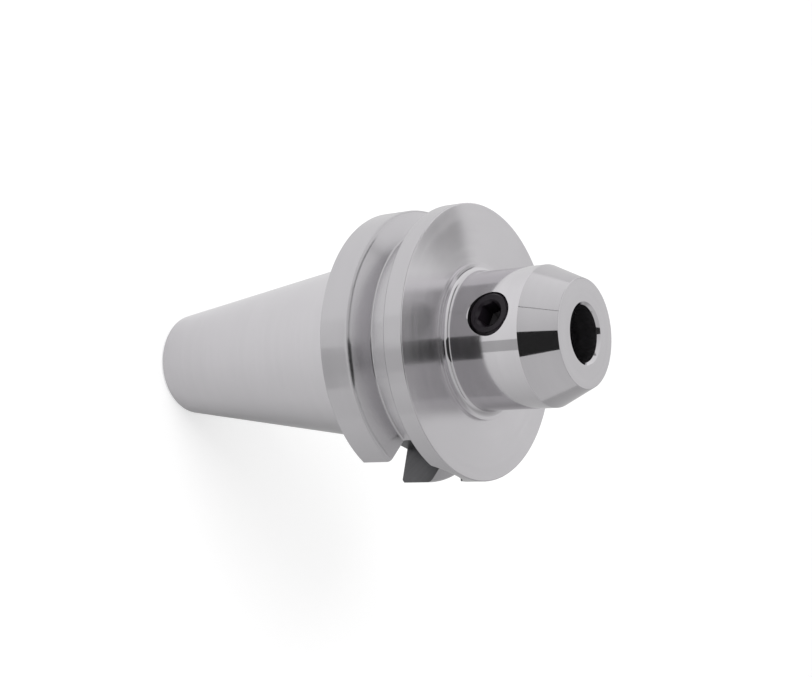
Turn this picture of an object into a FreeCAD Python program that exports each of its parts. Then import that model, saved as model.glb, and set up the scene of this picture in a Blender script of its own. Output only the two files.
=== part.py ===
import FreeCAD, Part

import math
import os

# End mill holder with a steep spindle taper of size 50 and a side clamping screw.
# Z runs along the spindle axis toward the nose, and is zero at the gauge plane of
# the taper. The drive slots face +X and -X, the clamping screw sits on the -Y side.
# All sizes are in millimetres.

# Spindle taper
GAUGE_DIAMETER = 69.85
TAPER_RATIO = 7.0 / 24.0
TAPER_LENGTH = 101.8
TAPER_END_CHAMFER = 1.0
RELIEF_WIDTH = 1.8
RELIEF_DEPTH = 0.35

# Flange with the gripper groove
FLANGE_DIAMETER = 100.0
FLANGE_GAP = 3.0
FLANGE_WIDTH = 35.0
FLANGE_REAR_CHAMFER = 1.0
FLANGE_FRONT_CHAMFER = 0.4
GROOVE_FROM_REAR = 20.2
GROOVE_MOUTH = 15.0
GROOVE_ANGLE = 60.0
GROOVE_DEPTH = 7.5
GROOVE_REAR_EDGE_RADIUS = 2.5
GROOVE_FRONT_EDGE_CHAMFER = 0.5

# Drive slots, milled through the rear disc and the groove into the front disc
SLOT_WIDTH = 25.7
SLOT_TAPER_CLEARANCE = 0.475
SLOT_END_WALL = 2.5

# Nose
GAUGE_LENGTH = 80.0
NOSE_DIAMETER = 50.0
NOSE_CONE_LENGTH = 12.5
NOSE_CONE_ANGLE = 25.0
NOSE_EDGE_CHAMFER = 0.3
COLLAR_HEIGHT = 1.2
COLLAR_RIM = 1.2
BASE_FILLET = 2.0

# Tool bore and the passage behind it
BORE_DIAMETER = 20.0
BORE_DEPTH = 55.0
BORE_CHAMFER = 1.0
PASSAGE_DIAMETER = 10.0
PASSAGE_CHAMFER = 0.8

# Drawbar end: pilot bore and thread M24, drawn at its core diameter
PILOT_DIAMETER = 25.0
PILOT_DEPTH = 11.0
PILOT_CHAMFER = 0.8
THREAD_CORE_DIAMETER = 20.752
THREAD_HOLE_DEPTH = 52.0
THREAD_CHAMFER = 1.2
DRILL_POINT_ANGLE = 118.0

# Clamping screw M16 with a hexagon socket, and its hole
SCREW_DIAMETER = 16.0
SCREW_CLEARANCE = 0.05
SCREW_FROM_NOSE = 24.5
SCREW_LENGTH = 14.0
SCREW_TIP_CLEARANCE = 0.3
SCREW_TIP_CHAMFER = 2.0
SCREW_RIM_CHAMFER = 1.1
SCREW_HOLE_CHAMFER = 0.3
SOCKET_WIDTH = 8.0
SOCKET_DEPTH = 8.0
SOCKET_MOUTH_DIAMETER = 9.6
SOCKET_MOUTH_ANGLE = 90.0
SOCKET_TURN = 47.0

# Overrun of a cutting tool past the surface that it leaves
OVERRUN = 1.0

AXIS = FreeCAD.Vector(0, 0, 1)
ORIGIN = FreeCAD.Vector(0, 0, 0)

taper_rear = -TAPER_LENGTH
flange_rear = FLANGE_GAP
flange_front = FLANGE_GAP + FLANGE_WIDTH
flange_radius = FLANGE_DIAMETER / 2
groove_middle = flange_rear + GROOVE_FROM_REAR
collar_front = flange_front + COLLAR_HEIGHT
nose_front = GAUGE_LENGTH
nose_radius = NOSE_DIAMETER / 2
bore_radius = BORE_DIAMETER / 2
screw_height = nose_front - SCREW_FROM_NOSE
screw_radius = SCREW_DIAMETER / 2
screw_hole_radius = screw_radius + SCREW_CLEARANCE


def taper_radius(z):
    """Radius of the steep taper at a height from the gauge plane."""
    return GAUGE_DIAMETER / 2 + z * TAPER_RATIO / 2


def turned(points):
    """Solid turned from a closed outline of (radius, height) points."""
    corners = [FreeCAD.Vector(radius, 0, height) for radius, height in points]
    outline = Part.makePolygon(corners + corners[:1])
    return Part.Face(outline).revolve(ORIGIN, AXIS, 360)


def rims(solid, radius, height):
    """Circular edges round the spindle axis at a radius and height."""
    found = []
    for edge in solid.Edges:
        curve = edge.Curve
        if not isinstance(curve, Part.Circle):
            continue
        on_axis = math.hypot(curve.Center.x, curve.Center.y) < 1e-4
        if on_axis and abs(curve.Radius - radius) < 1e-4 and abs(curve.Center.z - height) < 1e-4:
            found.append(edge)
    return found


def turned_blank():
    """Taper, relief, flange, collar and nose, turned in one piece."""
    relief_rear = flange_rear - RELIEF_WIDTH
    relief_radius = taper_radius(relief_rear) - RELIEF_DEPTH
    collar_radius = nose_radius + BASE_FILLET + COLLAR_RIM
    cone_rear = nose_front - NOSE_CONE_LENGTH
    face_radius = nose_radius - NOSE_CONE_LENGTH * math.tan(math.radians(NOSE_CONE_ANGLE))
    blank = turned([
        (0, taper_rear),
        (taper_radius(taper_rear), taper_rear),
        (taper_radius(relief_rear), relief_rear),
        (relief_radius, relief_rear),
        (relief_radius, flange_rear),
        (flange_radius, flange_rear),
        (flange_radius, flange_front),
        (collar_radius, flange_front),
        (collar_radius, collar_front),
        (nose_radius, collar_front),
        (nose_radius, cone_rear),
        (face_radius, nose_front),
        (0, nose_front),
    ])
    blank = blank.makeFillet(BASE_FILLET, rims(blank, nose_radius, collar_front))
    blank = blank.makeChamfer(TAPER_END_CHAMFER, rims(blank, taper_radius(taper_rear), taper_rear))
    blank = blank.makeChamfer(FLANGE_REAR_CHAMFER, rims(blank, flange_radius, flange_rear))
    blank = blank.makeChamfer(FLANGE_FRONT_CHAMFER, rims(blank, flange_radius, flange_front))
    return blank.makeChamfer(NOSE_EDGE_CHAMFER, rims(blank, face_radius, nose_front))


def with_gripper_groove(solid):
    """Cut the V groove round the flange and ease its edges."""
    slope = math.tan(math.radians(GROOVE_ANGLE / 2))
    bottom_radius = flange_radius - GROOVE_DEPTH
    half_mouth = GROOVE_MOUTH / 2
    half_bottom = half_mouth - GROOVE_DEPTH * slope
    half_outside = half_mouth + OVERRUN * slope
    groove = turned([
        (bottom_radius, groove_middle - half_bottom),
        (flange_radius + OVERRUN, groove_middle - half_outside),
        (flange_radius + OVERRUN, groove_middle + half_outside),
        (bottom_radius, groove_middle + half_bottom),
    ])
    grooved = solid.cut(groove)
    rear_edge = rims(grooved, flange_radius, groove_middle - half_mouth)
    grooved = grooved.makeFillet(GROOVE_REAR_EDGE_RADIUS, rear_edge)
    front_edge = rims(grooved, flange_radius, groove_middle + half_mouth)
    return grooved.makeChamfer(GROOVE_FRONT_EDGE_CHAMFER, front_edge)


def slot_cutter():
    """Shape of the drive slot on +X: straight walls with a round end toward the nose."""
    half_width = SLOT_WIDTH / 2
    floor = GAUGE_DIAMETER / 2 + SLOT_TAPER_CLEARANCE
    round_middle = flange_front - SLOT_END_WALL - half_width
    start = flange_rear - OVERRUN
    rear_right = FreeCAD.Vector(floor, half_width, start)
    front_right = FreeCAD.Vector(floor, half_width, round_middle)
    end = FreeCAD.Vector(floor, 0, round_middle + half_width)
    front_left = FreeCAD.Vector(floor, -half_width, round_middle)
    rear_left = FreeCAD.Vector(floor, -half_width, start)
    outline = Part.Wire([
        Part.makeLine(rear_right, front_right),
        Part.Arc(front_right, end, front_left).toShape(),
        Part.makeLine(front_left, rear_left),
        Part.makeLine(rear_left, rear_right),
    ])
    return Part.Face(outline).extrude(FreeCAD.Vector(flange_radius + OVERRUN - floor, 0, 0))


def tool_bore():
    """Tool bore with its mouth chamfer, open at the nose."""
    floor = nose_front - BORE_DEPTH
    return turned([
        (0, floor),
        (bore_radius, floor),
        (bore_radius, nose_front - BORE_CHAMFER),
        (bore_radius + BORE_CHAMFER, nose_front),
        (bore_radius + BORE_CHAMFER, nose_front + OVERRUN),
        (0, nose_front + OVERRUN),
    ])


def coolant_passage():
    """Passage from the drawbar thread to the tool bore, with its front edge eased."""
    radius = PASSAGE_DIAMETER / 2
    front = nose_front - BORE_DEPTH
    return turned([
        (0, taper_rear),
        (radius, taper_rear),
        (radius, front - PASSAGE_CHAMFER),
        (radius + PASSAGE_CHAMFER, front),
        (0, front),
    ])


def drawbar_hole():
    """Pilot bore, thread core with its chamfer, and the drill point, open at the small end."""
    pilot_radius = PILOT_DIAMETER / 2
    core_radius = THREAD_CORE_DIAMETER / 2
    pilot_floor = taper_rear + PILOT_DEPTH
    core_floor = taper_rear + THREAD_HOLE_DEPTH
    point = core_radius / math.tan(math.radians(DRILL_POINT_ANGLE / 2))
    return turned([
        (0, taper_rear - OVERRUN),
        (pilot_radius + PILOT_CHAMFER, taper_rear - OVERRUN),
        (pilot_radius + PILOT_CHAMFER, taper_rear),
        (pilot_radius, taper_rear + PILOT_CHAMFER),
        (pilot_radius, pilot_floor),
        (core_radius + THREAD_CHAMFER, pilot_floor),
        (core_radius, pilot_floor + THREAD_CHAMFER),
        (core_radius, core_floor),
        (0, core_floor + point),
    ])


def to_screw_side(solid):
    """Turn a solid built along Z so that it points out along -Y at the screw's height."""
    solid.rotate(ORIGIN, FreeCAD.Vector(1, 0, 0), 90)
    solid.translate(FreeCAD.Vector(0, 0, screw_height))
    return solid


def screw_hole():
    """Radial hole for the clamping screw, with a countersink in the nose's round side."""
    chamfer_floor = nose_radius - SCREW_HOLE_CHAMFER
    return to_screw_side(turned([
        (0, 0),
        (screw_hole_radius, 0),
        (screw_hole_radius, chamfer_floor),
        (screw_hole_radius + SCREW_HOLE_CHAMFER, nose_radius),
        (screw_hole_radius + SCREW_HOLE_CHAMFER, nose_radius + OVERRUN),
        (0, nose_radius + OVERRUN),
    ]))


def holder_body():
    """One-piece holder body, from the drawbar end to the nose."""
    solid = with_gripper_groove(turned_blank())
    slot = slot_cutter()
    opposite_slot = slot.copy()
    opposite_slot.rotate(ORIGIN, AXIS, 180)
    cutters = [slot, opposite_slot, tool_bore(), coolant_passage(), drawbar_hole(), screw_hole()]
    for cutter in cutters:
        solid = solid.cut(cutter)
    return solid


def hexagon_socket(outer_end):
    """Hexagon socket with a countersunk mouth and a drilled floor, sunk from the outer end."""
    corner_radius = SOCKET_WIDTH / math.sqrt(3)
    floor = outer_end - SOCKET_DEPTH
    corners = []
    for corner in range(6):
        angle = math.radians(60 * corner + SOCKET_TURN)
        x = corner_radius * math.cos(angle)
        y = corner_radius * math.sin(angle)
        corners.append(FreeCAD.Vector(x, y, floor))
    prism = Part.Face(Part.makePolygon(corners + corners[:1]))
    prism = prism.extrude(FreeCAD.Vector(0, 0, SOCKET_DEPTH + OVERRUN))
    mouth_slope = math.tan(math.radians(SOCKET_MOUTH_ANGLE / 2))
    mouth_radius = SOCKET_MOUTH_DIAMETER / 2
    mouth = turned([
        (0, outer_end - mouth_radius / mouth_slope),
        (mouth_radius + OVERRUN * mouth_slope, outer_end + OVERRUN),
        (0, outer_end + OVERRUN),
    ])
    drill_radius = SOCKET_WIDTH / 2
    point = turned([
        (0, floor - drill_radius / math.tan(math.radians(DRILL_POINT_ANGLE / 2))),
        (drill_radius, floor),
        (0, floor),
    ])
    return prism.fuse(mouth).fuse(point)


def clamp_screw():
    """Set screw with a hexagon socket and a flat tip, drawn at its outside diameter."""
    tip = bore_radius + SCREW_TIP_CLEARANCE
    outer_end = tip + SCREW_LENGTH
    shank = turned([
        (0, tip),
        (screw_radius - SCREW_TIP_CHAMFER, tip),
        (screw_radius, tip + SCREW_TIP_CHAMFER),
        (screw_radius, outer_end - SCREW_RIM_CHAMFER),
        (screw_radius - SCREW_RIM_CHAMFER, outer_end),
        (0, outer_end),
    ])
    return to_screw_side(shank.cut(hexagon_socket(outer_end)))


def main():
    os.makedirs("parts", exist_ok=True)
    pieces = {"holder_body": holder_body(), "clamp_screw": clamp_screw()}
    for name, solid in pieces.items():
        solid.exportStep("parts/" + name + ".step")
        print(name, "solids", len(solid.Solids), "valid", solid.isValid(), "volume", round(solid.Volume))
    clash = pieces["holder_body"].common(pieces["clamp_screw"])
    print("overlap volume", round(clash.Volume, 4))


main()
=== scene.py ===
import math

import bmesh
import bpy
from bpy.props import FloatProperty, FloatVectorProperty, IntProperty, PointerProperty
from mathutils import Matrix, Vector


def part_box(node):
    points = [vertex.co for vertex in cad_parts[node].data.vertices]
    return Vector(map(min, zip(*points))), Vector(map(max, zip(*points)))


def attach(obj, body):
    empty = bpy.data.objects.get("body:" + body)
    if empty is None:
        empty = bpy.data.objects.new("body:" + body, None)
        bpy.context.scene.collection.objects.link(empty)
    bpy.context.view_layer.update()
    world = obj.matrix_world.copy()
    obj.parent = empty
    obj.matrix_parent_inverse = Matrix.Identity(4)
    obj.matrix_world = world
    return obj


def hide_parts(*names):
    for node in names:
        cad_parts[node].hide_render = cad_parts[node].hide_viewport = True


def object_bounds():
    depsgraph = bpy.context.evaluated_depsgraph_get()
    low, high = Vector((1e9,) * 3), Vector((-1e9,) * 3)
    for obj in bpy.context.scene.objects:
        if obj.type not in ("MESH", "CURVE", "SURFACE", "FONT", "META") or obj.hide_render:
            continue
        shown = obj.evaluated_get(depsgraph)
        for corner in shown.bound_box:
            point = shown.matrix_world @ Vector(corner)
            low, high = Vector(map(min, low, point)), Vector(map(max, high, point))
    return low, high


bl_info = {
    "name": "Endmill holder",
    "version": (1, 0, 0),
    "blender": (4, 5, 0),
    "location": "View3D > Sidebar > Holder",
    "description": "Builds a side-lock endmill holder with its clamping screw and a studio stage",
    "category": "Object",
}

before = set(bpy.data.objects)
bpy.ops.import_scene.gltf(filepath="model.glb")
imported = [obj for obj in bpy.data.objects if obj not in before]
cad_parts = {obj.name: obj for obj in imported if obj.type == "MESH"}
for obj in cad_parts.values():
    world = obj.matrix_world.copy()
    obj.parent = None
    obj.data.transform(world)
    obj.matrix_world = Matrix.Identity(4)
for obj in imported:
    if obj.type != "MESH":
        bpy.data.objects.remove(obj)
cad_low, cad_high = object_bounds()
screw_low, screw_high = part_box("clamp_screw")

MM = 0.001
FINISHES = ("ground", "polished", "satin", "face", "bore", "slot")

# Chamfers of the holder body
TAPER_END_CHAMFER = 1.0 * MM
FLANGE_REAR_CHAMFER = 1.0 * MM
BORE_CHAMFER = 1.0 * MM
PASSAGE_CHAMFER = 0.8 * MM
PILOT_CHAMFER = 0.8 * MM
STUD_HOLE_CHAMFER = 1.4 * MM
DRILL_HALF_ANGLE = math.radians(59)

# Radii of the corners, from a keen edge to a milled hollow
KEEN = 0.1 * MM
GROUND = 0.12 * MM
SMALL_END = 0.15 * MM
EASED = 0.2 * MM
SOFT = 0.3 * MM
FLANGE_FRONT = 0.4 * MM
GROOVE_HOLLOW = 0.8 * MM

# How far cutters run past the steel. The slot's reach is a share of the flange's diameter.
CUTTER_OVERRUN = 1.0 * MM
SLOT_CUTTER_REACH = 0.52

# Ends of the pull stud's thread, and how far its cutter starts inside the hole's wall
STUD_THREAD_LEAD = 2.0 * MM
STUD_THREAD_RUNOUT = 3.0 * MM
STUD_THREAD_INSIDE = 0.2 * MM

# How near counts as the same finish, the same point or the axis
BORE_FINISH_MARGIN = 0.4 * MM
FLANGE_FINISH_MARGIN = 0.1 * MM
SAME_PLACE = 0.001 * MM
ON_AXIS = 1e-9

# Usual range of a noise, size of the steel's cloudy variation, and how far the gloss wanders
NOISE_LOW = 0.3
NOISE_HIGH = 0.7
CLOUD_SIZE = 30 * MM
CLOUD_GLOSS = 0.15
RING_GLOSS = 0.06


class HolderSizes(bpy.types.PropertyGroup):
    """Sizes of the holder body, from the small end of the taper to the nose."""

    taper_length: FloatProperty(
        name="Taper length", description="From the gauge plane to the small end",
        default=-cad_low.z, unit="LENGTH")
    gauge_diameter: FloatProperty(
        name="Gauge diameter", description="Taper diameter at the gauge plane",
        default=69.85 * MM, unit="LENGTH")
    taper_ratio: FloatProperty(
        name="Taper ratio", description="Diameter lost for each unit of length", default=7 / 24)
    relief_width: FloatProperty(
        name="Relief width", description="Grinding relief between taper and flange",
        default=1.8 * MM, unit="LENGTH")
    relief_depth: FloatProperty(
        name="Relief depth", description="Depth of the grinding relief",
        default=0.35 * MM, unit="LENGTH")
    flange_diameter: FloatProperty(
        name="Flange diameter", description="Outside diameter of the flange",
        default=cad_high.x - cad_low.x, unit="LENGTH")
    flange_gap: FloatProperty(
        name="Flange gap", description="From the gauge plane to the flange's rear face",
        default=3 * MM, unit="LENGTH")
    flange_width: FloatProperty(
        name="Flange width", description="Length of the flange along the axis",
        default=35 * MM, unit="LENGTH")
    groove_from_rear: FloatProperty(
        name="Groove place", description="From the flange's rear face to the groove's middle",
        default=20.2 * MM, unit="LENGTH")
    groove_mouth: FloatProperty(
        name="Groove mouth", description="Width of the gripper groove at the outside",
        default=15 * MM, unit="LENGTH")
    groove_depth: FloatProperty(
        name="Groove depth", description="Depth of the gripper groove",
        default=7.5 * MM, unit="LENGTH")
    groove_rear_edge: FloatProperty(
        name="Groove rear edge", description="Radius of the groove's edge toward the taper",
        default=2.5 * MM, unit="LENGTH")
    groove_front_edge: FloatProperty(
        name="Groove front edge", description="Radius of the groove's edge toward the nose",
        default=0.9 * MM, unit="LENGTH")
    groove_angle: FloatProperty(
        name="Groove angle", description="Angle between the groove's walls",
        default=math.radians(60), subtype="ANGLE")
    slot_width: FloatProperty(
        name="Drive slot width", description="Width of each drive slot",
        default=25.7 * MM, unit="LENGTH")
    slot_floor: FloatProperty(
        name="Drive slot floor", description="From the axis to the floor of a drive slot",
        default=35.4 * MM, unit="LENGTH")
    slot_end_wall: FloatProperty(
        name="Drive slot end wall", description="Steel left in front of a slot's round end",
        default=2.5 * MM, unit="LENGTH")
    nose_diameter: FloatProperty(
        name="Nose diameter", description="Diameter of the nose's straight part",
        default=50 * MM, unit="LENGTH")
    nose_cone_length: FloatProperty(
        name="Nose cone length", description="Length of the cone at the front",
        default=12.5 * MM, unit="LENGTH")
    nose_cone_angle: FloatProperty(
        name="Nose cone angle", description="Slope of the cone to the axis",
        default=math.radians(25), subtype="ANGLE")
    collar_height: FloatProperty(
        name="Collar height", description="Raised collar at the foot of the nose",
        default=1.2 * MM, unit="LENGTH")
    collar_rim: FloatProperty(
        name="Collar rim", description="Flat front of the collar outside the hollow radius",
        default=1.2 * MM, unit="LENGTH")
    base_fillet: FloatProperty(
        name="Base fillet", description="Hollow radius from the collar to the nose",
        default=2 * MM, unit="LENGTH")
    bore_diameter: FloatProperty(
        name="Bore diameter", description="Diameter of the tool bore",
        default=20 * MM, unit="LENGTH")
    bore_depth: FloatProperty(
        name="Bore depth", description="Depth of the tool bore",
        default=55 * MM, unit="LENGTH")
    passage_diameter: FloatProperty(
        name="Passage diameter", description="Coolant passage behind the tool bore",
        default=10 * MM, unit="LENGTH")
    pilot_diameter: FloatProperty(
        name="Pilot diameter", description="Pilot bore for the pull stud",
        default=25 * MM, unit="LENGTH")
    pilot_depth: FloatProperty(
        name="Pilot depth", description="Depth of the pilot bore",
        default=11 * MM, unit="LENGTH")
    core_diameter: FloatProperty(
        name="Thread core", description="Core diameter of the pull stud's thread",
        default=20.752 * MM, unit="LENGTH")
    stud_thread_diameter: FloatProperty(
        name="Pull stud thread", description="Outside diameter of the pull stud's thread",
        default=24 * MM, unit="LENGTH")
    stud_thread_pitch: FloatProperty(
        name="Pull stud pitch", description="Pitch of the pull stud's thread",
        default=3 * MM, unit="LENGTH")
    core_depth: FloatProperty(
        name="Thread hole depth", description="From the small end to the end of the thread hole",
        default=52 * MM, unit="LENGTH")


class ScrewSizes(bpy.types.PropertyGroup):
    """Sizes of the clamping screw and its hole."""

    diameter: FloatProperty(
        name="Screw diameter", description="Outside diameter of the thread",
        default=screw_high.x - screw_low.x, unit="LENGTH")
    pitch: FloatProperty(
        name="Thread pitch", description="Distance from one thread to the next",
        default=2 * MM, unit="LENGTH")
    thread_depth: FloatProperty(
        name="Thread depth", description="From the thread's crest to its root",
        default=1.1 * MM, unit="LENGTH")
    hole_clearance: FloatProperty(
        name="Hole clearance", description="Radial room between the hole and the screw",
        default=0.05 * MM, unit="LENGTH")
    hole_chamfer: FloatProperty(
        name="Hole chamfer", description="Countersink where the hole meets the nose",
        default=0.3 * MM, unit="LENGTH")
    rim_chamfer: FloatProperty(
        name="Rim chamfer", description="Chamfer at the screw's outer end",
        default=1.1 * MM, unit="LENGTH")
    tip_chamfer: FloatProperty(
        name="Tip chamfer", description="Chamfer at the screw's flat tip",
        default=2 * MM, unit="LENGTH")
    socket_width: FloatProperty(
        name="Socket width", description="Across the flats of the hexagon socket",
        default=8 * MM, unit="LENGTH")
    socket_depth: FloatProperty(
        name="Socket depth", description="Depth of the hexagon socket",
        default=8 * MM, unit="LENGTH")
    socket_mouth: FloatProperty(
        name="Socket mouth", description="Diameter of the countersink round the socket",
        default=10.2 * MM, unit="LENGTH")
    socket_turn: FloatProperty(
        name="Socket turn", description="Turn of the hexagon about the screw's axis",
        default=math.radians(47), subtype="ANGLE")


class FinishSettings(bpy.types.PropertyGroup):
    """Colours and surface detail of the steel and the black screw."""

    steel_colour: FloatVectorProperty(
        name="Steel colour", description="Colour of the ground steel", subtype="COLOR",
        default=(0.625, 0.612, 0.632), min=0, max=1)
    flange_colour: FloatVectorProperty(
        name="Flange steel", description="Colour of the flange's turned rim and groove",
        subtype="COLOR", default=(0.545, 0.534, 0.552), min=0, max=1)
    face_colour: FloatVectorProperty(
        name="Face steel", description="Colour of the turned front faces of the flange and the nose",
        subtype="COLOR", default=(0.688, 0.673, 0.695), min=0, max=1)
    bore_colour: FloatVectorProperty(
        name="Bore colour", description="Colour of the steel inside the bores", subtype="COLOR",
        default=(0.48, 0.47, 0.49), min=0, max=1)
    # The drive slots' steel is given a darker colour than the rest of the holder.
    slot_colour: FloatVectorProperty(
        name="Slot colour", description="Colour of the dark, hardened skin in the drive slots",
        subtype="COLOR", default=(0.125, 0.125, 0.130), min=0, max=1)
    oxide_colour: FloatVectorProperty(
        name="Oxide colour", description="Colour of the screw's black oxide", subtype="COLOR",
        default=(0.014, 0.011, 0.015), min=0, max=1)
    mark_spacing: FloatProperty(
        name="Mark spacing", description="Typical distance between turning marks",
        default=0.16 * MM, unit="LENGTH")
    mark_depth: FloatProperty(
        name="Mark depth", description="Height of the turning marks",
        default=0.0012 * MM, unit="LENGTH")
    segments: IntProperty(
        name="Segments", description="Steps round the axis of every turned surface",
        default=360, min=48)


class StageSettings(bpy.types.PropertyGroup):
    """Camera, floor, room, softbox and black card round the holder."""

    camera_distance: FloatProperty(
        name="Camera distance", description="From the spindle axis to the camera, level",
        default=448.1 * MM, unit="LENGTH")
    camera_height: FloatProperty(
        name="Camera height", description="Height of the camera over the gauge plane",
        default=319.3 * MM, unit="LENGTH")
    camera_azimuth: FloatProperty(
        name="Camera azimuth", description="Direction of the camera about the spindle axis",
        default=math.radians(-67.13), subtype="ANGLE")
    camera_down: FloatProperty(
        name="Camera down", description="How far the camera looks below level",
        default=math.radians(35.05), subtype="ANGLE")
    camera_side: FloatProperty(
        name="Camera side", description="How far the camera looks past the axis",
        default=math.radians(0.35), subtype="ANGLE")
    camera_roll: FloatProperty(
        name="Camera roll", description="Roll from a picture whose right side is straight up",
        default=math.radians(-4.50), subtype="ANGLE")
    camera_lens: FloatProperty(
        name="Camera lens", description="Focal length for a 36 mm wide sensor", default=65.3)
    floor_size: FloatProperty(
        name="Floor size", description="Side of the square floor", default=8.0, unit="LENGTH")
    room_bright: FloatProperty(
        name="Room", description="Factor on the room's levels in the steel", default=1.05)
    floor_grey: FloatProperty(
        name="Floor grey", description="How pale the floor is under the lights", default=0.60)
    floor_white: FloatProperty(
        name="Floor white", description="Level that lifts the seen floor to white", default=0.52)
    floor_shine: FloatProperty(
        name="Floor shine", description="Level added to the floor that the metal shows", default=0.45)
    key_power: FloatProperty(
        name="Key power", description="Power of the softbox, in watts", default=4.0)
    key_side: FloatProperty(
        name="Key side", description="Side of the square softbox", default=0.5, unit="LENGTH")
    key_turn: FloatProperty(
        name="Key turn", description="Turn of the softbox from the camera's side",
        default=math.radians(50), subtype="ANGLE")
    key_distance: FloatProperty(
        name="Key distance", description="From the spindle axis to the softbox, level",
        default=0.6, unit="LENGTH")
    key_height: FloatProperty(
        name="Key height", description="Height of the softbox over the gauge plane",
        default=0.7, unit="LENGTH")
    card_distance: FloatProperty(
        name="Card distance", description="From the spindle axis to the black card",
        default=400 * MM, unit="LENGTH")
    card_low: FloatProperty(
        name="Card low edge", description="Height of the black card's low edge over the gauge plane",
        default=120 * MM, unit="LENGTH")
    card_high: FloatProperty(
        name="Card high edge", description="Height of the black card's high edge over the gauge plane",
        default=1200 * MM, unit="LENGTH")
    card_from: FloatProperty(
        name="Card from", description="One side of the black card, turned from the camera",
        default=math.radians(-27), subtype="ANGLE")
    card_to: FloatProperty(
        name="Card to", description="Other side of the black card, turned from the camera",
        default=math.radians(10), subtype="ANGLE")


def sizes():
    """Sizes of the holder body that are set in the scene."""
    return bpy.context.scene.holder_sizes


def screw_sizes():
    """Sizes of the clamping screw that are set in the scene."""
    return bpy.context.scene.screw_sizes


def finishes():
    """Colours and surface detail that are set in the scene."""
    return bpy.context.scene.finish_settings


def stage_settings():
    """Camera, room and lights that are set in the scene."""
    return bpy.context.scene.stage_settings


def rounded(corners, steps=4):
    """Outline of (radius, height) points with each corner replaced by an arc of its own radius."""
    outline = []
    count = len(corners)
    for place, (radius, height, rounding) in enumerate(corners):
        corner = Vector((radius, height))
        before = Vector(corners[place - 1][:2]) - corner
        after = Vector(corners[(place + 1) % count][:2]) - corner
        if rounding <= 0:
            outline.append(corner)
            continue
        half_angle = before.angle(after) / 2
        reach = rounding / math.tan(half_angle)
        start = corner + before.normalized() * reach
        end = corner + after.normalized() * reach
        middle = corner + (before.normalized() + after.normalized()).normalized() * (
            rounding / math.sin(half_angle))
        for step in range(steps + 1):
            share = step / steps
            first = (start - middle).normalized()
            last = (end - middle).normalized()
            turn = first.angle(last)
            mixed = first * math.sin((1 - share) * turn) + last * math.sin(share * turn)
            outline.append(middle + mixed.normalized() * rounding)
    return outline


def linked(mesh, name):
    """Object in the scene with the built mesh."""
    data = bpy.data.meshes.new(name)
    mesh.to_mesh(data)
    mesh.free()
    piece = bpy.data.objects.new(name, data)
    bpy.context.scene.collection.objects.link(piece)
    return piece


def turned_mesh(name, outline, segments, closed=True):
    """Mesh turned about Z from (radius, height) points. A point on the axis becomes one vertex."""
    mesh = bmesh.new()
    rings = []
    for radius, height in outline:
        if radius < ON_AXIS:
            rings.append([mesh.verts.new((0, 0, height))])
            continue
        ring = []
        for step in range(segments):
            angle = 2 * math.pi * step / segments
            ring.append(mesh.verts.new((radius * math.cos(angle), radius * math.sin(angle), height)))
        rings.append(ring)
    pairs = list(zip(rings, rings[1:] + rings[:1])) if closed else list(zip(rings, rings[1:]))
    for lower, upper in pairs:
        if len(lower) == 1 and len(upper) == 1:
            continue
        for step in range(segments):
            following = (step + 1) % segments
            if len(lower) == 1:
                mesh.faces.new((lower[0], upper[following], upper[step]))
            elif len(upper) == 1:
                mesh.faces.new((lower[step], lower[following], upper[0]))
            else:
                mesh.faces.new((lower[step], lower[following], upper[following], upper[step]))
    bmesh.ops.recalc_face_normals(mesh, faces=mesh.faces[:])
    return linked(mesh, name)


def cut_from(piece, cutter):
    """Cut one closed mesh from another, keeping the cutter's finish on the new faces."""
    modifier = piece.modifiers.new("cut", "BOOLEAN")
    modifier.operation = "DIFFERENCE"
    modifier.solver = "EXACT"
    modifier.material_mode = "TRANSFER"
    modifier.object = cutter
    depsgraph = bpy.context.evaluated_depsgraph_get()
    result = bpy.data.meshes.new_from_object(piece.evaluated_get(depsgraph))
    piece.modifiers.clear()
    spent = piece.data
    piece.data = result
    bpy.data.meshes.remove(spent)
    cutter_mesh = cutter.data
    bpy.data.objects.remove(cutter)
    bpy.data.meshes.remove(cutter_mesh)


def shade(piece, sharp_angle):
    """Smooth shading with sharp edges past an angle, weighted so that flat faces stay flat."""
    piece.data.shade_smooth()
    piece.data.set_sharp_from_angle(angle=sharp_angle)
    modifier = piece.modifiers.new("weighted_normals", "WEIGHTED_NORMAL")
    modifier.keep_sharp = True
    modifier.weight = 100


def give_materials(piece, *materials):
    """Fill the piece's material slots, in order."""
    piece.data.materials.clear()
    for material in materials:
        piece.data.materials.append(material)


def node_of(tree, kind, **values):
    """New node with its named settings and input values."""
    node = tree.nodes.new(kind)
    for name, value in values.items():
        if hasattr(node, name):
            setattr(node, name, value)
        else:
            node.inputs[name.replace("_", " ")].default_value = value
    return node


def math_node(tree, operation, first, second=None):
    """Output of a math node whose inputs are numbers or other nodes' outputs."""
    node = tree.nodes.new("ShaderNodeMath")
    node.operation = operation
    for socket, value in zip(node.inputs, (first, second)):
        if isinstance(value, bpy.types.NodeSocket):
            tree.links.new(value, socket)
        elif value is not None:
            socket.default_value = value
    return node.outputs[0]


def effect_group(name, inputs, outputs):
    """Empty shader node group with named float inputs and outputs."""
    tree = bpy.data.node_groups.new(name, "ShaderNodeTree")
    for socket_name, default in inputs:
        socket = tree.interface.new_socket(socket_name, in_out="INPUT", socket_type="NodeSocketFloat")
        socket.default_value = default
    for socket_name in outputs:
        tree.interface.new_socket(socket_name, in_out="OUTPUT", socket_type="NodeSocketFloat")
    start = tree.nodes.new("NodeGroupInput")
    end = tree.nodes.new("NodeGroupOutput")
    return tree, start, end


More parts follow.
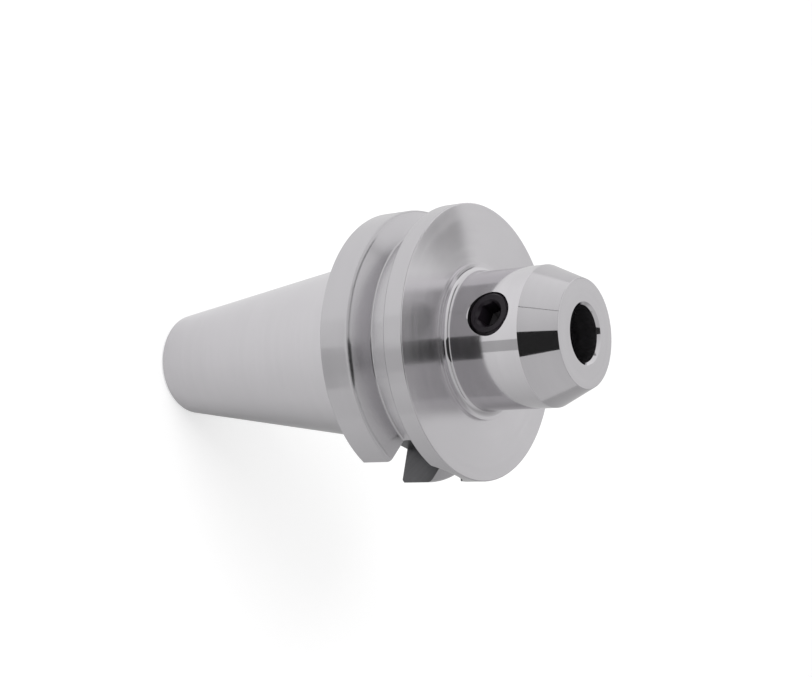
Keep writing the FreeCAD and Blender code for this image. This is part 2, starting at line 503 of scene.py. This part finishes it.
def turning_marks():
    """Group of fine rings left by turning and grinding round the spindle axis.

    Fineness is a share of one ring for each spacing, and swirl is how much a ring changes on its way
    round the axis.
    """
    if "Turning marks" in bpy.data.node_groups:
        return bpy.data.node_groups["Turning marks"]
    tree, start, end = effect_group("Turning marks", [("Spacing", 0.0002)], ["Height", "Tone"])
    place = tree.nodes.new("ShaderNodeTexCoord")
    split = tree.nodes.new("ShaderNodeSeparateXYZ")
    tree.links.new(place.outputs["Object"], split.inputs[0])
    across = math_node(
        tree, "SQRT",
        math_node(
            tree, "ADD",
            math_node(tree, "MULTIPLY", split.outputs["X"], split.outputs["X"]),
            math_node(tree, "MULTIPLY", split.outputs["Y"], split.outputs["Y"])))
    along = math_node(
        tree, "DIVIDE", math_node(tree, "ADD", across, split.outputs["Z"]), start.outputs["Spacing"])
    fineness_and_swirl = {"Height": (1.0, 12.0), "Tone": (0.06, 25.0)}
    for output, (fineness, swirl) in fineness_and_swirl.items():
        join = tree.nodes.new("ShaderNodeCombineXYZ")
        tree.links.new(math_node(tree, "MULTIPLY", split.outputs["X"], swirl), join.inputs["X"])
        tree.links.new(math_node(tree, "MULTIPLY", split.outputs["Y"], swirl), join.inputs["Y"])
        tree.links.new(math_node(tree, "MULTIPLY", along, fineness), join.inputs["Z"])
        noise = node_of(tree, "ShaderNodeTexNoise", Scale=1.0, Detail=2.0, Roughness=0.6)
        tree.links.new(join.outputs[0], noise.inputs["Vector"])
        tree.links.new(noise.outputs["Fac"], end.inputs[output])
    return tree


def handling_wear():
    """Group of broad, cloudy variation, as from handling and a film of oil."""
    if "Handling wear" in bpy.data.node_groups:
        return bpy.data.node_groups["Handling wear"]
    tree, start, end = effect_group("Handling wear", [("Size", 0.02)], ["Mask"])
    place = tree.nodes.new("ShaderNodeTexCoord")
    scale = tree.nodes.new("ShaderNodeVectorMath")
    scale.operation = "SCALE"
    tree.links.new(place.outputs["Object"], scale.inputs[0])
    tree.links.new(math_node(tree, "DIVIDE", 1.0, start.outputs["Size"]), scale.inputs["Scale"])
    noise = node_of(tree, "ShaderNodeTexNoise", Scale=1.0, Detail=3.0, Roughness=0.55)
    tree.links.new(scale.outputs[0], noise.inputs["Vector"])
    tree.links.new(noise.outputs["Fac"], end.inputs["Mask"])
    return tree


def grouped(tree, group, **values):
    """Node that uses a shared effect, with its input values."""
    node = tree.nodes.new("ShaderNodeGroup")
    node.node_tree = group
    for name, value in values.items():
        node.inputs[name].default_value = value
    return node


def between(tree, mask, low, high):
    """Value that runs from low to high as the mask runs over a noise's usual range."""
    node = tree.nodes.new("ShaderNodeMapRange")
    tree.links.new(mask, node.inputs["Value"])
    node.inputs["From Min"].default_value = NOISE_LOW
    node.inputs["From Max"].default_value = NOISE_HIGH
    node.inputs["To Min"].default_value = low
    node.inputs["To Max"].default_value = high
    return node.outputs["Result"]


def tinted(tree, colour, level):
    """Colour made lighter or darker by a level that changes over the surface."""
    node = tree.nodes.new("ShaderNodeVectorMath")
    node.operation = "SCALE"
    node.inputs[0].default_value = colour
    tree.links.new(level, node.inputs["Scale"])
    return node.outputs[0]


def steel_material(name, colour, roughness, anisotropy=0.0, metallic=1.0, marks=1.0, tone=0.02):
    """Steel with fine turning marks, a cloudy tone and uneven gloss.

    A high anisotropy draws the highlights out across the marks. The marks' height is a share of the
    mark depth, and the tone is how far the colour wanders.
    """
    finish = finishes()
    material = bpy.data.materials.new(name)
    material.use_nodes = True
    tree = material.node_tree
    shader = tree.nodes["Principled BSDF"]
    shader.inputs["Metallic"].default_value = metallic
    rings = grouped(tree, turning_marks(), Spacing=finish.mark_spacing)
    cloud = grouped(tree, handling_wear(), Size=CLOUD_SIZE)
    level = math_node(
        tree, "MULTIPLY",
        between(tree, rings.outputs["Tone"], 1 - tone, 1 + tone),
        between(tree, cloud.outputs["Mask"], 1 - tone, 1 + tone))
    tree.links.new(tinted(tree, colour, level), shader.inputs["Base Color"])
    gloss = math_node(
        tree, "MULTIPLY",
        between(tree, cloud.outputs["Mask"], 1 - CLOUD_GLOSS, 1 + CLOUD_GLOSS),
        between(
            tree, rings.outputs["Tone"], roughness * (1 - RING_GLOSS), roughness * (1 + RING_GLOSS)))
    tree.links.new(gloss, shader.inputs["Roughness"])
    bump = node_of(tree, "ShaderNodeBump", Distance=finish.mark_depth * marks, Strength=1.0)
    tree.links.new(rings.outputs["Height"], bump.inputs["Height"])
    tree.links.new(bump.outputs["Normal"], shader.inputs["Normal"])
    if anisotropy > 0:
        tangent = tree.nodes.new("ShaderNodeTangent")
        tangent.direction_type = "RADIAL"
        tangent.axis = "Z"
        tree.links.new(tangent.outputs["Tangent"], shader.inputs["Tangent"])
        shader.inputs["Anisotropic"].default_value = anisotropy
        shader.inputs["Anisotropic Rotation"].default_value = 0.25
    return material


def holder_outline():
    """Closed outline of the holder body: outside from the small end to the nose, then inside."""
    size = sizes()
    rear = -size.taper_length
    flange_rear = size.flange_gap
    flange_front = flange_rear + size.flange_width
    flange_radius = size.flange_diameter / 2
    nose_radius = size.nose_diameter / 2
    nose_front = cad_high.z
    bore_radius = size.bore_diameter / 2
    bore_floor = nose_front - size.bore_depth
    slope = math.tan(size.groove_angle / 2)
    groove = flange_rear + size.groove_from_rear
    half_mouth = size.groove_mouth / 2
    half_bottom = half_mouth - size.groove_depth * slope
    groove_radius = flange_radius - size.groove_depth
    collar_radius = nose_radius + size.base_fillet + size.collar_rim
    collar_front = flange_front + size.collar_height
    cone_rear = nose_front - size.nose_cone_length
    face_radius = nose_radius - size.nose_cone_length * math.tan(size.nose_cone_angle)
    relief_rear = flange_rear - size.relief_width
    core_radius = size.core_diameter / 2
    passage_radius = size.passage_diameter / 2
    core_end = rear + size.core_depth
    pilot_radius = size.pilot_diameter / 2
    pilot_floor = rear + size.pilot_depth
    drill_point = (core_radius - passage_radius) / math.tan(DRILL_HALF_ANGLE)

    def taper_radius(height):
        return size.gauge_diameter / 2 + height * size.taper_ratio / 2

    relief_radius = taper_radius(relief_rear) - size.relief_depth
    chamfer_end = rear + TAPER_END_CHAMFER
    return rounded([
        (taper_radius(rear) - TAPER_END_CHAMFER, rear, SMALL_END),
        (taper_radius(chamfer_end), chamfer_end, SOFT),
        (taper_radius(relief_rear), relief_rear, GROUND),
        (relief_radius, relief_rear + KEEN, KEEN),
        (relief_radius, flange_rear, SOFT),
        (flange_radius - FLANGE_REAR_CHAMFER, flange_rear, EASED),
        (flange_radius, flange_rear + FLANGE_REAR_CHAMFER, EASED),
        (flange_radius, groove - half_mouth, size.groove_rear_edge),
        (groove_radius, groove - half_bottom, GROOVE_HOLLOW),
        (groove_radius, groove + half_bottom, GROOVE_HOLLOW),
        (flange_radius, groove + half_mouth, size.groove_front_edge),
        (flange_radius, flange_front, FLANGE_FRONT),
        (collar_radius, flange_front, KEEN),
        (collar_radius, collar_front, KEEN),
        (nose_radius, collar_front, size.base_fillet),
        (nose_radius, cone_rear, EASED),
        (face_radius, nose_front, SOFT),
        (bore_radius + BORE_CHAMFER, nose_front, GROUND),
        (bore_radius, nose_front - BORE_CHAMFER, GROUND),
        (bore_radius, bore_floor, SOFT),
        (passage_radius + PASSAGE_CHAMFER, bore_floor, KEEN),
        (passage_radius, bore_floor - PASSAGE_CHAMFER, KEEN),
        (passage_radius, core_end + drill_point, KEEN),
        (core_radius, core_end, EASED),
        (core_radius, pilot_floor + STUD_HOLE_CHAMFER, KEEN),
        (core_radius + STUD_HOLE_CHAMFER, pilot_floor, KEEN),
        (pilot_radius, pilot_floor, SOFT),
        (pilot_radius, rear + PILOT_CHAMFER, KEEN),
        (pilot_radius + PILOT_CHAMFER, rear, KEEN),
    ])


def slot_cutter(side):
    """Closed cutter for one drive slot, with a round end toward the nose."""
    size = sizes()
    half_width = size.slot_width / 2
    start = size.flange_gap - CUTTER_OVERRUN
    middle = size.flange_gap + size.flange_width - size.slot_end_wall - half_width
    outline = [(half_width, start)]
    steps = 72
    for step in range(steps + 1):
        angle = math.pi * step / steps
        outline.append((half_width * math.cos(angle), middle + half_width * math.sin(angle)))
    outline.append((-half_width, start))
    inner = side * size.slot_floor
    outer = side * size.flange_diameter * SLOT_CUTTER_REACH
    mesh = bmesh.new()
    near = [mesh.verts.new((inner, across, height)) for across, height in outline]
    far = [mesh.verts.new((outer, across, height)) for across, height in outline]
    mesh.faces.new(near)
    mesh.faces.new(far)
    for place in range(len(outline)):
        following = (place + 1) % len(outline)
        mesh.faces.new((near[place], near[following], far[following], far[place]))
    bmesh.ops.recalc_face_normals(mesh, faces=mesh.faces[:])
    return linked(mesh, "slot_cutter")


def to_screw_side(piece):
    """Turn a mesh built along Z so that it points out along -Y at the screw's height."""
    height = (screw_low.z + screw_high.z) / 2
    piece.data.transform(Matrix.Translation((0, 0, height)) @ Matrix.Rotation(math.radians(90), 4, "X"))


def screw_hole_cutter():
    """Closed cutter for the screw's hole, from the spindle axis out past the nose."""
    size = screw_sizes()
    segments = 128
    nose_radius = sizes().nose_diameter / 2
    hole_radius = size.diameter / 2 + size.hole_clearance
    mouth_radius = hole_radius + size.hole_chamfer
    end = nose_radius + CUTTER_OVERRUN
    outline = [
        (0, 0),
        (hole_radius, 0),
        (hole_radius, nose_radius - size.hole_chamfer),
        (mouth_radius, nose_radius),
        (mouth_radius, end),
        (0, end),
    ]
    cutter = turned_mesh("screw_hole_cutter", outline, segments, closed=False)
    to_screw_side(cutter)
    return cutter


def stud_thread_cutter():
    """Closed cutter whose helical ridge leaves the pull stud's thread in the drilled hole.

    The profile's points are shares of a pitch along the axis, each with the radius there.
    """
    size = sizes()
    segments = 96
    pitch = size.stud_thread_pitch
    low = -size.taper_length + size.pilot_depth - STUD_THREAD_LEAD
    high = -size.taper_length + size.core_depth - STUD_THREAD_RUNOUT
    inner = size.core_diameter / 2 - STUD_THREAD_INSIDE
    outer = size.stud_thread_diameter / 2
    profile = ((0.0, inner), (0.2, inner), (0.56, outer), (0.68, outer))
    turns = math.ceil((high - low) / pitch) + 1
    mesh = bmesh.new()
    columns = []
    for step in range(segments + 1):
        angle = 2 * math.pi * step / segments
        column = []
        for turn in range(-1, turns):
            for share, radius in profile:
                height = low + pitch * (turn + share + step / segments)
                if height <= low or height >= high:
                    radius = inner
                height = min(max(height, low), high)
                place = (radius * math.cos(angle), radius * math.sin(angle), height)
                column.append(mesh.verts.new(place))
        columns.append(column)
    for here, beyond in zip(columns, columns[1:]):
        for place in range(len(here) - 1):
            mesh.faces.new((here[place], beyond[place], beyond[place + 1], here[place + 1]))
    mesh.faces.new([column[0] for column in columns[:-1]])
    mesh.faces.new([column[-1] for column in columns[:-1]])
    bmesh.ops.remove_doubles(mesh, verts=mesh.verts[:], dist=SAME_PLACE)
    bmesh.ops.recalc_face_normals(mesh, faces=mesh.faces[:])
    return linked(mesh, "stud_thread_cutter")


def finish_of(face):
    """Finish of a turned face, from where it lies on the holder."""
    size = sizes()
    radius = math.hypot(face.center.x, face.center.y)
    height = face.center.z
    flange_front = size.flange_gap + size.flange_width
    opening = size.pilot_diameter if height < 0 else size.bore_diameter
    if radius < opening / 2 + BORE_FINISH_MARGIN:
        return "bore"
    nose_edge = size.nose_diameter / 2 + size.base_fillet
    if height > flange_front + size.collar_height / 2 and radius < nose_edge:
        return "polished"
    if height > flange_front - FLANGE_FINISH_MARGIN:
        return "face"
    if height > size.flange_gap - FLANGE_FINISH_MARGIN:
        return "satin"
    return "ground"


def paint_turned_faces(piece):
    """Give each turned face its finish, and leave the drive slots' faces as they were cut."""
    slot = FINISHES.index("slot")
    for face in piece.data.polygons:
        if face.material_index != slot:
            face.material_index = FINISHES.index(finish_of(face))


class HOLDER_OT_body(bpy.types.Operator):
    """Build the one-piece holder body"""

    bl_idname = "holder.body"
    bl_label = "Holder body"

    def execute(self, context):
        finish = finishes()
        materials = {
            "ground": steel_material(
                "ground_taper", finish.steel_colour, roughness=0.13, anisotropy=0.8, tone=0.012),
            "polished": steel_material(
                "polished_nose", finish.steel_colour, roughness=0.08, anisotropy=0.7, marks=0.5),
            "satin": steel_material(
                "satin_flange", finish.flange_colour, roughness=0.20, anisotropy=0.9, marks=0.5,
                tone=0.015),
            "face": steel_material(
                "turned_face", finish.face_colour, roughness=0.22, anisotropy=1.0, marks=0.3,
                tone=0.015),
            "bore": steel_material(
                "bore_steel", finish.bore_colour, roughness=0.26, anisotropy=0.5, marks=2.0),
            # Darker steel for the drive slots' cut faces.
            "slot": steel_material(
                "dark_slot_steel", finish.slot_colour, roughness=0.38, marks=3.0, tone=0.10),
        }
        body = turned_mesh("holder_body_machined", holder_outline(), finish.segments)
        give_materials(body, *[materials[name] for name in FINISHES])
        for side in (1, -1):
            cutter = slot_cutter(side)
            give_materials(cutter, materials["slot"])
            cut_from(body, cutter)
        for cutter in (screw_hole_cutter(), stud_thread_cutter()):
            give_materials(cutter, materials["bore"])
            cut_from(body, cutter)
        paint_turned_faces(body)
        shade(body, sharp_angle=math.radians(28))
        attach(body, "holder")
        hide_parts("holder_body")
        return {"FINISHED"}


def threaded_shank():
    """Screw turned along Z from its tip to its outer end, with a helical thread.

    The thread's crest and flank are shares of half a pitch.
    """
    size = screw_sizes()
    segments = 144
    rows_per_pitch = 14
    tip = -screw_high.y
    outer_end = -screw_low.y
    rows = round((outer_end - tip) / size.pitch * rows_per_pitch)
    radius = size.diameter / 2
    half_crest = 0.15
    flank_width = 0.7

    def body_radius(height):
        from_tip = height - tip
        from_end = outer_end - height
        return min(radius, radius - size.tip_chamfer + from_tip, radius - size.rim_chamfer + from_end)

    def thread_cut(height, angle):
        turn = (height / size.pitch - angle / (2 * math.pi)) % 1.0
        flank = abs(turn - 0.5) * 2
        return size.thread_depth * max(0.0, min(1.0, (flank - half_crest) / flank_width))

    mesh = bmesh.new()
    rings = []
    for row in range(rows + 1):
        height = tip + (outer_end - tip) * row / rows
        ring = []
        for step in range(segments):
            angle = 2 * math.pi * step / segments
            here = min(body_radius(height), radius - thread_cut(height, angle))
            ring.append(mesh.verts.new((here * math.cos(angle), here * math.sin(angle), height)))
        rings.append(ring)
    for lower, upper in zip(rings, rings[1:]):
        for step in range(segments):
            following = (step + 1) % segments
            mesh.faces.new((lower[step], lower[following], upper[following], upper[step]))
    mesh.faces.new(list(reversed(rings[0])))
    mesh.faces.new(rings[-1])
    return linked(mesh, "clamp_screw_threaded")


def socket_cutter():
    """Hexagon socket with its countersunk mouth and drilled floor, as one closed mesh."""
    size = screw_sizes()
    outer_end = -screw_low.y
    floor = outer_end - size.socket_depth
    top = outer_end + CUTTER_OVERRUN
    mouth_radius = size.socket_mouth / 2
    segments = 96
    rows = 40
    sixth = math.pi / 3

    def hexagon_radius(angle):
        within = (angle - size.socket_turn) % sixth - sixth / 2
        return size.socket_width / 2 / math.cos(within)

    mesh = bmesh.new()
    rings = []
    depths = [floor + (outer_end - floor) * row / rows for row in range(rows + 1)]
    for height in depths + [top]:
        cone = mouth_radius + (height - outer_end)
        ring = []
        for step in range(segments):
            angle = size.socket_turn + 2 * math.pi * step / segments
            here = max(hexagon_radius(angle), cone)
            ring.append(mesh.verts.new((here * math.cos(angle), here * math.sin(angle), height)))
        rings.append(ring)
    for lower, upper in zip(rings, rings[1:]):
        for step in range(segments):
            following = (step + 1) % segments
            mesh.faces.new((lower[step], lower[following], upper[following], upper[step]))
    point = mesh.verts.new((0, 0, floor - size.socket_width / 2 / math.tan(DRILL_HALF_ANGLE)))
    for step in range(segments):
        mesh.faces.new((rings[0][step], point, rings[0][(step + 1) % segments]))
    mesh.faces.new(rings[-1])
    bmesh.ops.recalc_face_normals(mesh, faces=mesh.faces[:])
    return linked(mesh, "socket_cutter")


class HOLDER_OT_clamp_screw(bpy.types.Operator):
    """Build the black clamping screw with its thread and hexagon socket"""

    bl_idname = "holder.clamp_screw"
    bl_label = "Clamping screw"

    def execute(self, context):
        finish = finishes()
        oxide = steel_material(
            "black_oxide_skin", finish.oxide_colour, roughness=0.30, metallic=0.2, tone=0.12)
        oxide.node_tree.nodes["Principled BSDF"].inputs["Specular IOR Level"].default_value = 0.3
        screw = threaded_shank()
        give_materials(screw, oxide)
        cutter = socket_cutter()
        give_materials(cutter, oxide)
        cut_from(screw, cutter)
        to_screw_side(screw)
        shade(screw, sharp_angle=math.radians(30))
        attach(screw, "screw")
        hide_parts("clamp_screw")
        return {"FINISHED"}


# Levels that the steel shows of the floor and the room, at turns in degrees from the camera's side
# toward the picture's top.
FLOOR_LEVELS = (
    (-180, 0.2), (-155, 0.0), (-110, 0.0), (-60, 0.33), (0, 0.57), (90, 0.74), (130, 0.66), (165, 0.3),
    (180, 0.2))
ROOM_LEVELS = (
    (-180, 0.73), (-150, 0.46), (-135, 0.40), (-115, 0.60), (0, 0.60), (60, 0.78), (150, 0.96),
    (180, 0.73))

# Cards that only the steel mirrors. Turns are in degrees, and each edge is a distance from the
# spindle axis and a height.
ON_FLOOR = cad_low.z + 1 * MM
CARDS = {
    "rim_card": {
        "turns": (-26, 4), "near": (0.14, ON_FLOOR), "far": (0.222, ON_FLOOR), "level": 0.48},
    "front_card": {
        "turns": (-50, 24), "near": (0.222, ON_FLOOR), "far": (0.256, ON_FLOOR), "level": 0.5},
    "nose_card": {
        "turns": (-17, 0), "near": (0.256, ON_FLOOR), "far": (0.36, ON_FLOOR), "level": 0.48},
    "wedge_card": {"turns": (146, 162), "near": (0.12, 0.11), "far": (0.12, 0.15), "level": 0.36},
    "screen_card": {
        "turns": (-100, 105), "near": (0.45, 0.26), "far": (0.45, 0.44), "level": 0.4, "steps": 20},
    "light_stand": {"turns": (47.6, 48.4), "near": (0.5, 0.1), "far": (0.5, 0.5), "level": 0.1},
}
BLACK_CARD_LEVEL = 0.01


def camera_frame():
    """Directions in the row frame: from the axis to the camera, and up in the picture."""
    azimuth = stage_settings().camera_azimuth
    toward = Vector((math.cos(azimuth), math.sin(azimuth), 0))
    picture_up = Vector((math.sin(azimuth), -math.cos(azimuth), 0))
    return toward, picture_up


def add_camera():
    """Camera at the photo's place, rolled so that the picture's right is up."""
    settings = stage_settings()
    toward, picture_up = camera_frame()
    data = bpy.data.cameras.new("camera")
    data.lens = settings.camera_lens
    data.clip_start = 0.01
    camera = bpy.data.objects.new("camera", data)
    bpy.context.scene.collection.objects.link(camera)
    level = Matrix((Vector((0, 0, 1)), picture_up, toward)).transposed().to_4x4()
    aim = (
        Matrix.Rotation(settings.camera_down, 4, "Y")
        @ Matrix.Rotation(settings.camera_side, 4, "X")
        @ Matrix.Rotation(settings.camera_roll, 4, "Z"))
    place = toward * settings.camera_distance + Vector((0, 0, settings.camera_height))
    camera.matrix_world = Matrix.Translation(place) @ level @ aim
    bpy.context.scene.camera = camera


def around(turn, radius, height):
    """Place at an angle from the camera's side of the axis, counted toward the picture's top."""
    toward, picture_up = camera_frame()
    level = toward * math.cos(turn) + picture_up * math.sin(turn)
    return level * radius + Vector((0, 0, height))


def add_softbox(name, place, target, side, power):
    """Square soft light that isn't seen in the steel."""
    data = bpy.data.lights.new(name, "AREA")
    data.size = side
    data.energy = power
    lamp = bpy.data.objects.new(name, data)
    bpy.context.scene.collection.objects.link(lamp)
    lamp.location = place
    lamp.rotation_euler = (target - place).to_track_quat("-Z", "Y").to_euler()
    lamp.visible_camera = False
    lamp.visible_glossy = False


def add_card(name, turns, near, far, level, steps=1):
    """Card that only the steel mirrors, between two turns in degrees from the camera's side.

    Its near and far edges are each a distance from the spindle axis and a height. More steps bend
    it round the axis.
    """
    data = bpy.data.meshes.new(name)
    start, end = [math.radians(turn) for turn in turns]
    bends = [start + (end - start) * step / steps for step in range(steps + 1)]
    corners = [around(turn, *edge) for turn in bends for edge in (near, far)]
    quads = [(first, first + 1, first + 3, first + 2) for first in range(0, 2 * steps, 2)]
    data.from_pydata(corners, [], quads)
    card = bpy.data.objects.new(name, data)
    bpy.context.scene.collection.objects.link(card)
    material = bpy.data.materials.new(name)
    material.use_nodes = True
    shader = material.node_tree.nodes["Principled BSDF"]
    shader.inputs["Base Color"].default_value = (level, level, level, 1)
    shader.inputs["Roughness"].default_value = 0.8
    give_materials(card, material)
    card.visible_camera = False
    card.visible_diffuse = False
    card.visible_shadow = False
    card.visible_transmission = False


def round_levels(tree, source, levels):
    """Level that changes with the turn round the axis, from turns and levels in degrees."""
    mapping = tree.nodes.new("ShaderNodeMapping")
    mapping.inputs["Scale"].default_value = (1, -1, 1)
    mapping.inputs["Rotation"].default_value = (0, 0, stage_settings().camera_azimuth)
    tree.links.new(source, mapping.inputs["Vector"])
    turn = tree.nodes.new("ShaderNodeTexGradient")
    turn.gradient_type = "RADIAL"
    tree.links.new(mapping.outputs["Vector"], turn.inputs["Vector"])
    colours = tree.nodes.new("ShaderNodeValToRGB")
    tree.links.new(turn.outputs["Fac"], colours.inputs["Fac"])
    elements = colours.color_ramp.elements
    for number, (degrees, level) in enumerate(levels):
        spot = (degrees + 180) / 360
        element = elements[number] if number < len(elements) else elements.new(spot)
        element.position = spot
        element.color = (level, level, level, 1)
    return colours.outputs["Color"]


def add_floor():
    """Pale floor: white to the camera, and graded round the axis in the steel."""
    settings = stage_settings()
    half = settings.floor_size / 2
    data = bpy.data.meshes.new("floor")
    corners = [(-half, -half), (half, -half), (half, half), (-half, half)]
    data.from_pydata([(x, y, cad_low.z) for x, y in corners], [], [(0, 1, 2, 3)])
    floor = bpy.data.objects.new("floor", data)
    bpy.context.scene.collection.objects.link(floor)
    material = bpy.data.materials.new("pale_floor")
    material.use_nodes = True
    tree = material.node_tree
    shader = tree.nodes["Principled BSDF"]
    grey = settings.floor_grey
    shader.inputs["Base Color"].default_value = (grey, grey, grey, 1)
    shader.inputs["Roughness"].default_value = 0.9
    shader.inputs["Specular IOR Level"].default_value = 0.2
    shader.inputs["Emission Color"].default_value = (1, 1, 1, 1)
    path = tree.nodes.new("ShaderNodeLightPath")
    place = tree.nodes.new("ShaderNodeTexCoord")
    shine = math_node(
        tree, "MULTIPLY", round_levels(tree, place.outputs["Object"], FLOOR_LEVELS), settings.floor_shine)
    seen = math_node(tree, "MAXIMUM", path.outputs["Is Camera Ray"], path.outputs["Is Transmission Ray"])
    level = math_node(
        tree, "ADD",
        math_node(tree, "MULTIPLY", seen, settings.floor_white),
        math_node(tree, "MULTIPLY", path.outputs["Is Glossy Ray"], shine))
    tree.links.new(level, shader.inputs["Emission Strength"])
    give_materials(floor, material)


def add_room():
    """Pale room: white to the camera, and graded round the axis in the steel."""
    settings = stage_settings()
    world = bpy.data.worlds.new("room")
    world.use_nodes = True
    bpy.context.scene.world = world
    tree = world.node_tree
    background = tree.nodes["Background"]
    background.inputs["Color"].default_value = (1, 1, 1, 1)
    place = tree.nodes.new("ShaderNodeTexCoord")
    level = math_node(
        tree, "MULTIPLY", round_levels(tree, place.outputs["Generated"], ROOM_LEVELS),
        settings.room_bright)
    path = tree.nodes.new("ShaderNodeLightPath")
    tree.links.new(
        math_node(tree, "MAXIMUM", path.outputs["Is Camera Ray"], level), background.inputs["Strength"])


class HOLDER_OT_stage(bpy.types.Operator):
    """Set up the floor, the room, the lights and the camera"""

    bl_idname = "holder.stage"
    bl_label = "Stage"

    def execute(self, context):
        context.scene.view_settings.view_transform = "Standard"
        settings = stage_settings()
        add_floor()
        add_room()
        softbox = around(settings.key_turn, settings.key_distance, settings.key_height)
        add_softbox("key_softbox", softbox, Vector((0, 0, 0)), settings.key_side, settings.key_power)
        add_card(
            "black_card", [math.degrees(turn) for turn in (settings.card_from, settings.card_to)],
            (settings.card_distance, settings.card_low), (settings.card_distance, settings.card_high),
            BLACK_CARD_LEVEL)
        for name, card in CARDS.items():
            add_card(name, **card)
        add_camera()
        return {"FINISHED"}


class HOLDER_PT_panel(bpy.types.Panel):
    """Sizes, finishes and buttons of the endmill holder"""

    bl_idname = "HOLDER_PT_panel"
    bl_label = "Endmill holder"
    bl_space_type = "VIEW_3D"
    bl_region_type = "UI"
    bl_category = "Holder"

    def draw(self, context):
        scene = context.scene
        groups = (scene.holder_sizes, scene.screw_sizes, scene.finish_settings, scene.stage_settings)
        for group in groups:
            box = self.layout.box()
            for name in group.__annotations__:
                box.prop(group, name)
        for operator in OPERATORS:
            self.layout.operator(operator.bl_idname)


OPERATORS = (HOLDER_OT_body, HOLDER_OT_clamp_screw, HOLDER_OT_stage)
GROUPS = {
    "holder_sizes": HolderSizes,
    "screw_sizes": ScrewSizes,
    "finish_settings": FinishSettings,
    "stage_settings": StageSettings,
}


def register():
    for group in GROUPS.values():
        bpy.utils.register_class(group)
    for name, group in GROUPS.items():
        setattr(bpy.types.Scene, name, PointerProperty(type=group))
    for operator in OPERATORS:
        bpy.utils.register_class(operator)
    bpy.utils.register_class(HOLDER_PT_panel)


def unregister():
    bpy.utils.unregister_class(HOLDER_PT_panel)
    for operator in reversed(OPERATORS):
        bpy.utils.unregister_class(operator)
    for name, group in GROUPS.items():
        delattr(bpy.types.Scene, name)
        bpy.utils.unregister_class(group)


def main():
    register()
    bpy.ops.holder.body()
    bpy.ops.holder.clamp_screw()
    bpy.ops.holder.stage()


if __name__ == "__main__":
    main()
